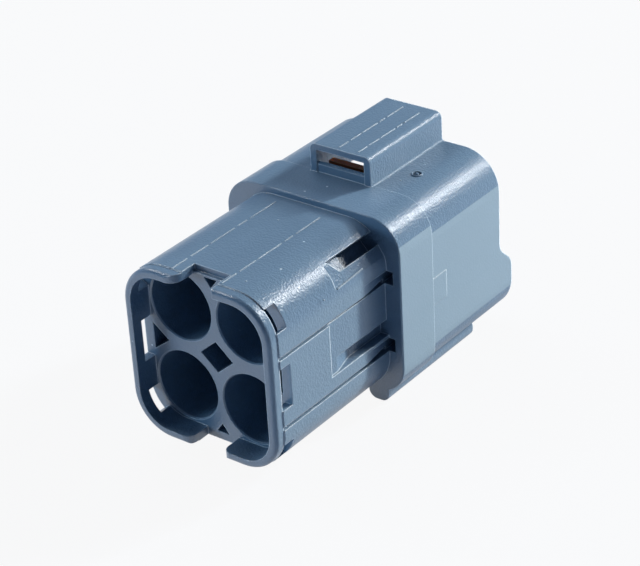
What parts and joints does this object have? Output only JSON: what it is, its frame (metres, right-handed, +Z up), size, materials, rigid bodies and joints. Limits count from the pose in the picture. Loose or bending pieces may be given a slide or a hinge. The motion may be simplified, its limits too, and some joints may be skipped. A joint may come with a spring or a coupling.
{
  "type": "sealed automotive connector housing",
  "caption": "Moulded male-hood housing of a sealed automotive connector, with round cavities for sealed wires, a mating hood with a lock box, and a sliding retainer inside.",
  "frame": {"origin": "on the shared axis of the four cavities, in the plane of the wire-end rim", "axes": "+Y from the wire end to the mating end, +Z up through the lock box, +X across"},
  "size_m": [0.0172, 0.031, 0.0193],
  "materials": {
    "housing": "dark blue-grey moulded plastic with a slight sheen",
    "retainer": "orange moulded plastic"
  },
  "bodies": {
    "housing": {"housing": "housing"},
    "retainer": {"retainer": "retainer"}
  },
  "joints": [
    {"name": "retainer_slide", "type": "slide", "parent": "housing", "child": "retainer", "axis": [0, 1, 0], "range_m": [0, 0.0015]}
  ]
}
